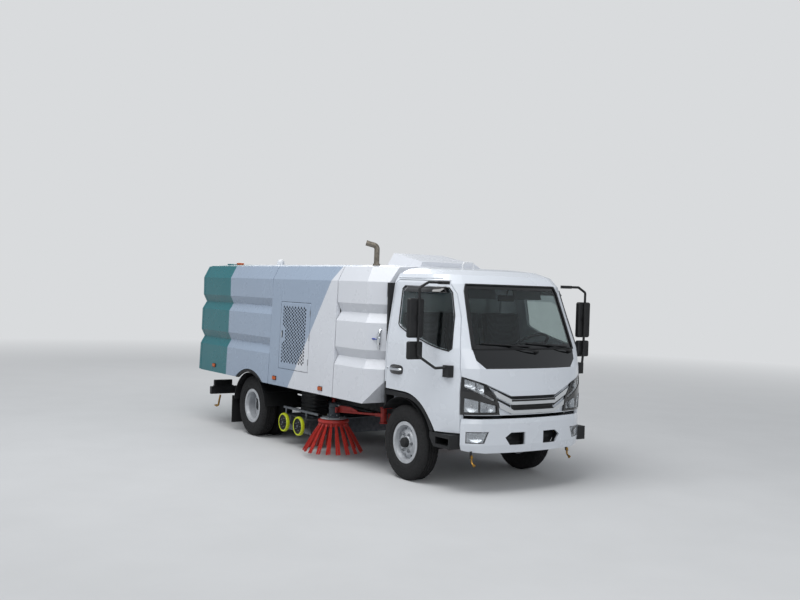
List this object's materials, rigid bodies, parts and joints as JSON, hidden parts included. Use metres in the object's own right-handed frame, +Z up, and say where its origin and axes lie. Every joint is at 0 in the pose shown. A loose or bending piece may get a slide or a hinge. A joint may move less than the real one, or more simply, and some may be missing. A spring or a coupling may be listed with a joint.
{
  "type": "street sweeper truck",
  "caption": "Small forward-control road sweeper truck with a tipping debris hopper, water tank, suction nozzle and swinging disc brushes.",
  "frame": {"origin": "on the ground, under the middle of the overall length and width", "axes": "+X forward, +Y to the truck's left, +Z up"},
  "size_m": [5.7999, 2.44, 2.491],
  "materials": {
    "white_paint": "gloss paint",
    "grey_paint": "gloss paint",
    "teal_paint": "gloss paint",
    "red_paint": "gloss paint",
    "frame_paint": "satin chassis paint",
    "black_plastic": "grained",
    "gloss_black": "gloss",
    "rim_paint": "silver paint",
    "tyre_rubber": "rubber",
    "window_glass": "clear, light tint",
    "lamp_glass": "clear",
    "red_lens": "lens",
    "chrome_trim": "polished",
    "steel": "worn",
    "engine_iron": "painted iron",
    "seat_fabric": "woven",
    "bristle": "nylon bristle",
    "yellow_rubber": "solid tyre"
  },
  "bodies": {
    "chassis": {"chassis_frame": "frame_paint", "tow_eyes": "frame_paint", "rail_brackets": "red_paint", "front_axle": "frame_paint", "rear_axle": "frame_paint", "driveline": "engine_iron", "fuel_tank": "frame_paint", "front_bumper": "white_paint", "rear_bumper": "frame_paint", "tail_lamps": "red_lens", "rear_mudguards": "black_plastic", "water_tank": "white_paint", "exhaust_pipe": "steel", "air_intake": "black_plastic", "engine_cover": "white_paint", "machine_engine": "engine_iron", "cab_shell": "white_paint", "cab_glass": "window_glass", "windscreen_mask": "gloss_black", "headlamp_frames": "gloss_black", "lamp_lenses": "lamp_glass", "grille_bars": "chrome_trim", "dashboard": "black_plastic", "seats": "seat_fabric", "cab_trim": "black_plastic"},
    "hopper": {"hopper_shell": "teal_paint"},
    "tailgate": {"tailgate": "teal_paint"},
    "nozzle": {"suction_nozzle": "frame_paint"},
    "knuckle_right": {"knuckle_right": "frame_paint"},
    "front_wheel_right": {"front_tyre_right": "tyre_rubber", "front_rim_right": "rim_paint"},
    "rear_wheels_right": {"rear_tyres_right": "tyre_rubber", "rear_rims_right": "rim_paint"},
    "door_right": {"door_right": "white_paint", "door_glass_right": "window_glass", "mirror_right": "black_plastic"},
    "mesh_door_right": {"mesh_door_right": "grey_paint"},
    "brush_post_right": {"brush_post_right": "red_paint"},
    "brush_arm_right": {"brush_arm_right": "red_paint"},
    "brush_right": {"brush_right": "bristle"},
    "ram_barrel_right": {"ram_barrel_right": "frame_paint"},
    "ram_rod_right": {"ram_rod_right": "steel"},
    "nozzle_wheel_right_1": {"nozzle_wheel_right_1": "yellow_rubber"},
    "nozzle_wheel_right_2": {"nozzle_wheel_right_2": "yellow_rubber"},
    "knuckle_left": {"knuckle_left": "frame_paint"},
    "front_wheel_left": {"front_tyre_left": "tyre_rubber", "front_rim_left": "rim_paint"},
    "rear_wheels_left": {"rear_tyres_left": "tyre_rubber", "rear_rims_left": "rim_paint"},
    "door_left": {"door_left": "white_paint", "door_glass_left": "window_glass", "mirror_left": "black_plastic"},
    "mesh_door_left": {"mesh_door_left": "grey_paint"},
    "brush_post_left": {"brush_post_left": "red_paint"},
    "brush_arm_left": {"brush_arm_left": "red_paint"},
    "brush_left": {"brush_left": "bristle"},
    "ram_barrel_left": {"ram_barrel_left": "frame_paint"},
    "ram_rod_left": {"ram_rod_left": "steel"},
    "nozzle_wheel_left_1": {"nozzle_wheel_left_1": "yellow_rubber"},
    "nozzle_wheel_left_2": {"nozzle_wheel_left_2": "yellow_rubber"}
  },
  "joints": [
    {"name": "hopper_tip", "type": "hinge", "parent": "chassis", "child": "hopper", "pos_m": [-2.707, 0, 0.77], "axis": [0, -1, 0], "range_deg": [0, 45]},
    {"name": "tailgate_lift", "type": "hinge", "parent": "hopper", "child": "tailgate", "pos_m": [-2.865, 0, 2.222], "axis": [0, 1, 0], "range_deg": [0, 85]},
    {"name": "nozzle_drop", "type": "slide", "parent": "chassis", "child": "nozzle", "axis": [0, 0, 1], "range_m": [-0.15, 0]},
    {"name": "steer_right", "type": "hinge", "parent": "chassis", "child": "knuckle_right", "pos_m": [1.863, -0.655, 0.338], "axis": [0, 0, 1], "range_deg": [-32, 32]},
    {"name": "front_spin_right", "type": "hinge", "parent": "knuckle_right", "child": "front_wheel_right", "pos_m": [1.863, -0.7625, 0.388], "axis": [0, 1, 0], "continuous": true},
    {"name": "rear_spin_right", "type": "hinge", "parent": "chassis", "child": "rear_wheels_right", "pos_m": [-1.445, -0.76, 0.388], "axis": [0, 1, 0], "continuous": true},
    {"name": "door_hinge_right", "type": "hinge", "parent": "chassis", "child": "door_right", "pos_m": [2.673, -0.8, 1.2], "axis": [0, 0, 1], "range_deg": [0, 66]},
    {"name": "mesh_door_hinge_right", "type": "hinge", "parent": "chassis", "child": "mesh_door_right", "pos_m": [0.185, -1.07606, 0.963], "axis": [0, 0.0271, 0.9996], "range_deg": [0, 110]},
    {"name": "brush_swing_right", "type": "hinge", "parent": "chassis", "child": "brush_post_right", "pos_m": [0.885, -0.46, 0.53], "axis": [0, 0, 1], "range_deg": [0, 24]},
    {"name": "brush_lift_right", "type": "hinge", "parent": "brush_post_right", "child": "brush_arm_right", "pos_m": [0.82187, -0.5005, 0.53], "axis": [-0.54, 0.8417, 0], "range_deg": [-3.5, 3]},
    {"name": "brush_spin_right", "type": "hinge", "parent": "brush_arm_right", "child": "brush_right", "pos_m": [0.355, -0.8, 0.42], "axis": [0, 0, 1], "continuous": true},
    {"name": "ram_swing_right", "type": "hinge", "parent": "chassis", "child": "ram_barrel_right", "pos_m": [-2.283, -0.44, 0.346], "axis": [0, -1, 0], "range_deg": [0, 10.2]},
    {"name": "ram_slide_right", "type": "slide", "parent": "ram_barrel_right", "child": "ram_rod_right", "axis": [-0.0557, 0, 0.9984], "range_m": [0, 0.29]},
    {"name": "nozzle_wheel_spin_right_1", "type": "hinge", "parent": "nozzle", "child": "nozzle_wheel_right_1", "pos_m": [-0.655, -0.905, 0.272], "axis": [0, 1, 0], "continuous": true},
    {"name": "nozzle_wheel_spin_right_2", "type": "hinge", "parent": "nozzle", "child": "nozzle_wheel_right_2", "pos_m": [-0.28, -0.905, 0.272], "axis": [0, 1, 0], "continuous": true},
    {"name": "steer_left", "type": "hinge", "parent": "chassis", "child": "knuckle_left", "pos_m": [1.863, 0.655, 0.338], "axis": [0, 0, 1], "range_deg": [-32, 32]},
    {"name": "front_spin_left", "type": "hinge", "parent": "knuckle_left", "child": "front_wheel_left", "pos_m": [1.863, 0.7625, 0.388], "axis": [0, 1, 0], "continuous": true},
    {"name": "rear_spin_left", "type": "hinge", "parent": "chassis", "child": "rear_wheels_left", "pos_m": [-1.445, 0.76, 0.388], "axis": [0, 1, 0], "continuous": true},
    {"name": "door_hinge_left", "type": "hinge", "parent": "chassis", "child": "door_left", "pos_m": [2.673, 0.8, 1.2], "axis": [0, 0, -1], "range_deg": [0, 66]},
    {"name": "mesh_door_hinge_left", "type": "hinge", "parent": "chassis", "child": "mesh_door_left", "pos_m": [0.185, 1.07606, 0.963], "axis": [0, 0.0271, -0.9996], "range_deg": [0, 110]},
    {"name": "brush_swing_left", "type": "hinge", "parent": "chassis", "child": "brush_post_left", "pos_m": [0.885, 0.46, 0.53], "axis": [0, 0, -1], "range_deg": [0, 24]},
    {"name": "brush_lift_left", "type": "hinge", "parent": "brush_post_left", "child": "brush_arm_left", "pos_m": [0.82187, 0.5005, 0.53], "axis": [0.54, 0.8417, 0], "range_deg": [-3.5, 3]},
    {"name": "brush_spin_left", "type": "hinge", "parent": "brush_arm_left", "child": "brush_left", "pos_m": [0.355, 0.8, 0.42], "axis": [0, 0, 1], "continuous": true},
    {"name": "ram_swing_left", "type": "hinge", "parent": "chassis", "child": "ram_barrel_left", "pos_m": [-2.283, 0.44, 0.346], "axis": [0, -1, 0], "range_deg": [0, 10.2]},
    {"name": "ram_slide_left", "type": "slide", "parent": "ram_barrel_left", "child": "ram_rod_left", "axis": [-0.0557, 0, 0.9984], "range_m": [0, 0.29]},
    {"name": "nozzle_wheel_spin_left_1", "type": "hinge", "parent": "nozzle", "child": "nozzle_wheel_left_1", "pos_m": [-0.655, 0.905, 0.272], "axis": [0, 1, 0], "continuous": true},
    {"name": "nozzle_wheel_spin_left_2", "type": "hinge", "parent": "nozzle", "child": "nozzle_wheel_left_2", "pos_m": [-0.28, 0.905, 0.272], "axis": [0, 1, 0], "continuous": true}
  ],
  "couplings": [
    {"joint": "ram_swing_right", "follows": "hopper_tip", "ratio": 0.222},
    {"joint": "ram_slide_right", "follows": "hopper_tip", "m_per_rad": 0.3671},
    {"joint": "ram_swing_left", "follows": "hopper_tip", "ratio": 0.222},
    {"joint": "ram_slide_left", "follows": "hopper_tip", "m_per_rad": 0.3671},
    {"joint": "steer_left", "follows": "steer_right", "ratio": 1}
  ]
}
